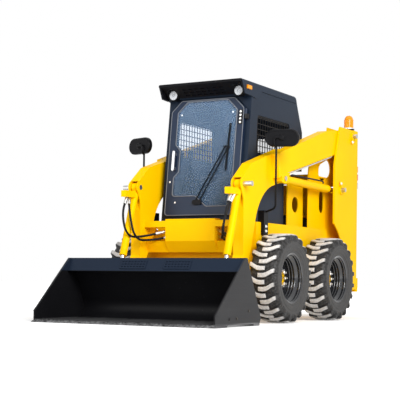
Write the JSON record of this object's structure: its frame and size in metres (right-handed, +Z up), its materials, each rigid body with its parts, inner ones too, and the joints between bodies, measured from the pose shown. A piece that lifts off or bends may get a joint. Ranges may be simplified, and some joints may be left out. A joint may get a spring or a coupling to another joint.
{
  "type": "skid steer loader",
  "caption": "Compact wheeled skid steer loader with rear-pivoted loader arms, tilting bucket, glazed cab with front door, and lugged tyres.",
  "frame": {"origin": "on the ground under the middle of the overall box", "axes": "+X to the machine's left, -Y the way it drives forward, +Z up"},
  "size_m": [1.7538, 3.4, 2.118],
  "materials": {
    "yellow_paint": "gloss construction-yellow enamel",
    "cab_paint": "satin dark blue-black enamel",
    "bucket_paint": "satin black enamel",
    "rim_paint": "gloss black enamel",
    "tyre": "black rubber",
    "axle_steel": "black painted casting",
    "engine": "dark grey casting",
    "pin_steel": "ground steel",
    "fitting_steel": "bright zinc plate",
    "barrel_paint": "gloss yellow enamel",
    "rod_chrome": "polished chrome",
    "hose": "matt black rubber",
    "window_glass": "clear glass",
    "guard": "black wire",
    "seat_cover": "black vinyl",
    "black_plastic": "matt black plastic",
    "handle": "cast aluminium",
    "lamp": "clear lens",
    "amber_lens": "clear amber plastic",
    "tail_lens": "red and amber plastic"
  },
  "bodies": {
    "chassis": {"chassis_frame": "yellow_paint", "tower_left": "yellow_paint", "tower_right": "yellow_paint", "tower_pins": "pin_steel", "rear_bumper": "yellow_paint", "engine_block": "engine", "engine_hood": "yellow_paint", "side_panels": "yellow_paint", "axle_housings": "axle_steel", "cab_side_left": "cab_paint", "cab_side_right": "cab_paint", "side_guards": "guard", "cab_rear": "cab_paint", "rear_window": "window_glass", "cab_floor": "cab_paint", "cab_front_frame": "cab_paint", "cab_roof": "cab_paint", "work_lamps": "lamp", "marker_lamps": "amber_lens", "door_hinges": "pin_steel", "seat": "seat_cover", "seat_base": "cab_paint", "controls": "black_plastic", "mirror_heads": "black_plastic", "mirror_stems": "black_plastic", "beacon_base": "black_plastic", "beacon_dome": "amber_lens", "tail_lamps": "tail_lens"},
    "door": {"door_panel": "cab_paint", "door_glass": "window_glass", "door_handle": "handle", "wiper": "black_plastic"},
    "engine_door": {"rear_door": "yellow_paint"},
    "arms": {"arm_left": "yellow_paint", "arm_right": "yellow_paint", "arm_crossmember": "yellow_paint", "arm_pins": "pin_steel", "hose_fittings": "fitting_steel", "hose_left_1": "hose", "hose_left_2": "hose", "hose_right_1": "hose", "hose_right_2": "hose"},
    "bucket": {"bucket_shell": "bucket_paint", "cutting_edge": "bucket_paint", "hitch_plate": "yellow_paint", "hitch_pins": "pin_steel"},
    "lift_barrel": {"lift_barrels": "barrel_paint"},
    "lift_rod": {"lift_rods": "rod_chrome"},
    "tilt_barrel": {"tilt_barrels": "barrel_paint"},
    "tilt_rod": {"tilt_rods": "rod_chrome"},
    "wheel_front_left": {"tyre_front_left": "tyre", "rim_front_left": "rim_paint"},
    "wheel_front_right": {"tyre_front_right": "tyre", "rim_front_right": "rim_paint"},
    "wheel_rear_left": {"tyre_rear_left": "tyre", "rim_rear_left": "rim_paint"},
    "wheel_rear_right": {"tyre_rear_right": "tyre", "rim_rear_right": "rim_paint"}
  },
  "joints": [
    {"name": "wheel_front_left_spin", "type": "hinge", "parent": "chassis", "child": "wheel_front_left", "pos_m": [0.723, -0.274, 0.387], "axis": [1, 0, 0], "continuous": true},
    {"name": "wheel_front_right_spin", "type": "hinge", "parent": "chassis", "child": "wheel_front_right", "pos_m": [-0.723, -0.274, 0.387], "axis": [1, 0, 0], "continuous": true},
    {"name": "wheel_rear_left_spin", "type": "hinge", "parent": "chassis", "child": "wheel_rear_left", "pos_m": [0.723, 0.746, 0.387], "axis": [1, 0, 0], "continuous": true},
    {"name": "wheel_rear_right_spin", "type": "hinge", "parent": "chassis", "child": "wheel_rear_right", "pos_m": [-0.723, 0.746, 0.387], "axis": [1, 0, 0], "continuous": true},
    {"name": "lift", "type": "hinge", "parent": "chassis", "child": "arms", "pos_m": [0, 1.516, 1.828], "axis": [-1, 0, 0], "range_deg": [0, 57]},
    {"name": "tilt", "type": "hinge", "parent": "arms", "child": "bucket", "pos_m": [0, -0.849, 0.19], "axis": [1, 0, 0], "range_deg": [-25, 97]},
    {"name": "cab_door", "type": "hinge", "parent": "chassis", "child": "door", "pos_m": [0.388, -0.4247, 0.93363], "axis": [0, 0.1211, 0.9926], "range_deg": [0, 90]},
    {"name": "engine_door", "type": "hinge", "parent": "chassis", "child": "engine_door", "pos_m": [0.492, 1.672, 0.9], "axis": [0, 0, -1], "range_deg": [0, 100]},
    {"name": "lift_barrel_pivot", "type": "hinge", "parent": "arms", "child": "lift_barrel", "pos_m": [0, 0.001, 1.278], "axis": [1, 0, 0], "range_deg": [-0.2, 1]},
    {"name": "lift_rod_slide", "type": "slide", "parent": "lift_barrel", "child": "lift_rod", "axis": [0, 1, -0.0089], "range_m": [-0.002, 0.603]},
    {"name": "tilt_barrel_pivot", "type": "hinge", "parent": "arms", "child": "tilt_barrel", "pos_m": [0, -0.674, 1.179], "axis": [1, 0, 0], "range_deg": [-0.8, 0.5]},
    {"name": "tilt_rod_slide", "type": "slide", "parent": "tilt_barrel", "child": "tilt_rod", "axis": [0, -0.3097, -0.9508], "range_m": [-0.07, 0.266]}
  ],
  "couplings": [
    {"joint": "lift_barrel_pivot", "follows": "lift", "ratio": 0.01197},
    {"joint": "lift_rod_slide", "follows": "lift", "m_per_rad": 0.60334},
    {"joint": "tilt_barrel_pivot", "follows": "tilt", "ratio": -0.005},
    {"joint": "tilt_rod_slide", "follows": "tilt", "m_per_rad": 0.155}
  ]
}
